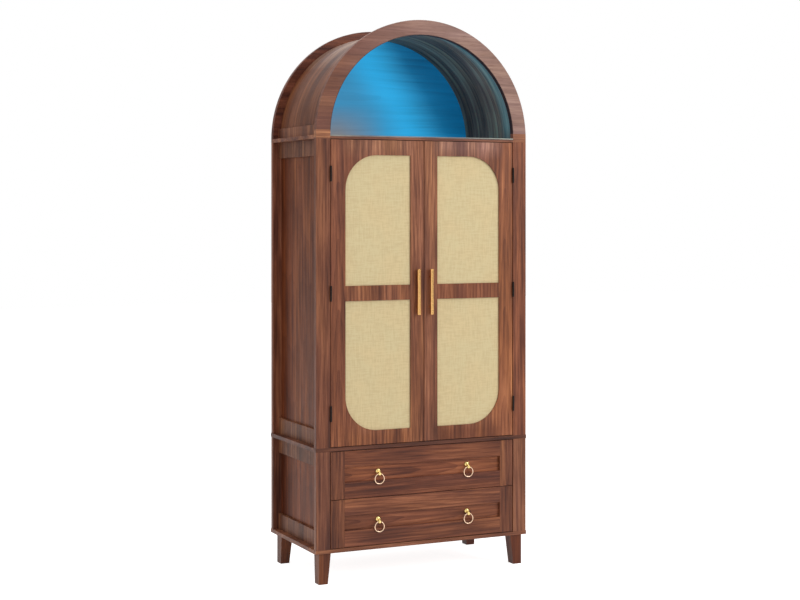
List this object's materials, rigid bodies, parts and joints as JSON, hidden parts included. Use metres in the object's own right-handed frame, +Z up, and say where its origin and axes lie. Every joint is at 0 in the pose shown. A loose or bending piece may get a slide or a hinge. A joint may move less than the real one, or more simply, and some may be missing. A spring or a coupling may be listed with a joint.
{
  "type": "arched display cabinet",
  "caption": "Tall walnut cabinet with an arched open niche lit from inside, woven-panel doors with bar handles, drawers with ring pulls, and tapered legs.",
  "frame": {"origin": "on the floor, under the centre of the whole cabinet with its handles", "axes": "+Z up, +X to the right as seen from the front, +Y from the front to the back"},
  "size_m": [0.753, 0.411, 1.7819],
  "materials": {
    "walnut_upright": "satin laminate, upright grain",
    "walnut_level": "satin laminate, level grain",
    "walnut_leg": "satin stain",
    "walnut_arch": "satin laminate, level grain",
    "walnut_shell": "satin laminate, grain round the curve",
    "niche_board": "satin laminate, level grain",
    "back_board": "matt laminate",
    "shelf_board": "satin laminate",
    "drawer_board": "matt laminate",
    "woven_panel": "plain weave, matt",
    "handle_brass": "satin",
    "pull_brass": "polished",
    "ring_brass": "polished",
    "hinge_black": "satin black",
    "runner_steel": "zinc plated",
    "catch_plastic": "matt brown",
    "magnet_dark": "bare ferrite",
    "strike_steel": "zinc plated",
    "pin_steel": "nickel plated",
    "light_strip": "clear blue cover, lit",
    "controller_plastic": "matt black"
  },
  "bodies": {
    "carcass": {"base_board": "walnut_level", "mid_board": "walnut_level", "top_board": "walnut_level", "legs": "walnut_leg", "upper_front_posts": "walnut_upright", "upper_rear_posts": "walnut_upright", "lower_posts": "walnut_upright", "upper_right_side_panel": "walnut_upright", "upper_left_side_panel": "walnut_upright", "lower_right_side_panel": "walnut_upright", "lower_left_side_panel": "walnut_upright", "right_side_rails": "walnut_upright", "left_side_rails": "walnut_upright", "upper_back_panel": "back_board", "lower_back_panel": "back_board", "arch_front_ring": "walnut_arch", "arch_rear_ring": "walnut_arch", "arch_shell": "walnut_shell", "arch_foot_blocks": "walnut_shell", "niche_back_panel": "niche_board", "led_strip": "light_strip", "led_controller": "controller_plastic", "lower_shelf": "shelf_board", "upper_shelf": "shelf_board", "shelf_pins": "pin_steel", "hinge_frame_leaves": "hinge_black", "hinge_pins": "hinge_black", "door_catch": "catch_plastic", "catch_magnets": "magnet_dark", "runner_cabinet_members": "runner_steel"},
    "left_door": {"left_door_frame": "walnut_upright", "left_woven_panel": "woven_panel", "left_door_backer": "back_board", "left_strike_plate": "strike_steel", "left_handle": "handle_brass", "left_hinge_leaves": "hinge_black"},
    "right_door": {"right_door_frame": "walnut_upright", "right_woven_panel": "woven_panel", "right_door_backer": "back_board", "right_strike_plate": "strike_steel", "right_handle": "handle_brass", "right_hinge_leaves": "hinge_black"},
    "lower_drawer": {"lower_drawer_front_strips": "walnut_level", "lower_drawer_front_panel": "walnut_level", "lower_drawer_box": "drawer_board", "lower_drawer_bottom": "drawer_board", "lower_runner_drawer_members": "runner_steel", "lower_pull_posts": "pull_brass"},
    "lower_runner_middle": {"lower_runner_middle_members": "runner_steel"},
    "lower_left_ring": {"lower_left_pull_ring": "ring_brass"},
    "lower_right_ring": {"lower_right_pull_ring": "ring_brass"},
    "upper_drawer": {"upper_drawer_front_strips": "walnut_level", "upper_drawer_front_panel": "walnut_level", "upper_drawer_box": "drawer_board", "upper_drawer_bottom": "drawer_board", "upper_runner_drawer_members": "runner_steel", "upper_pull_posts": "pull_brass"},
    "upper_runner_middle": {"upper_runner_middle_members": "runner_steel"},
    "upper_left_ring": {"upper_left_pull_ring": "ring_brass"},
    "upper_right_ring": {"upper_right_pull_ring": "ring_brass"}
  },
  "joints": [
    {"name": "left_door_hinge", "type": "hinge", "parent": "carcass", "child": "left_door", "pos_m": [-0.326, -0.1927, 0.909], "axis": [0, 0, -1], "range_deg": [0, 110]},
    {"name": "right_door_hinge", "type": "hinge", "parent": "carcass", "child": "right_door", "pos_m": [0.326, -0.1927, 0.909], "axis": [0, 0, 1], "range_deg": [0, 110]},
    {"name": "lower_drawer_slide", "type": "slide", "parent": "carcass", "child": "lower_drawer", "axis": [0, -1, 0], "range_m": [0, 0.28]},
    {"name": "lower_runner_slide", "type": "slide", "parent": "carcass", "child": "lower_runner_middle", "axis": [0, -1, 0], "range_m": [0, 0.14]},
    {"name": "lower_left_ring_swing", "type": "hinge", "parent": "lower_drawer", "child": "lower_left_ring", "pos_m": [-0.159, -0.1925, 0.1835], "axis": [-1, 0, 0], "range_deg": [0, 85]},
    {"name": "lower_right_ring_swing", "type": "hinge", "parent": "lower_drawer", "child": "lower_right_ring", "pos_m": [0.159, -0.1925, 0.1835], "axis": [-1, 0, 0], "range_deg": [0, 85]},
    {"name": "upper_drawer_slide", "type": "slide", "parent": "carcass", "child": "upper_drawer", "axis": [0, -1, 0], "range_m": [0, 0.28]},
    {"name": "upper_runner_slide", "type": "slide", "parent": "carcass", "child": "upper_runner_middle", "axis": [0, -1, 0], "range_m": [0, 0.14]},
    {"name": "upper_left_ring_swing", "type": "hinge", "parent": "upper_drawer", "child": "upper_left_ring", "pos_m": [-0.159, -0.1925, 0.3355], "axis": [-1, 0, 0], "range_deg": [0, 85]},
    {"name": "upper_right_ring_swing", "type": "hinge", "parent": "upper_drawer", "child": "upper_right_ring", "pos_m": [0.159, -0.1925, 0.3355], "axis": [-1, 0, 0], "range_deg": [0, 85]}
  ],
  "couplings": [
    {"joint": "lower_runner_slide", "follows": "lower_drawer_slide", "ratio": 0.5},
    {"joint": "upper_runner_slide", "follows": "upper_drawer_slide", "ratio": 0.5}
  ]
}
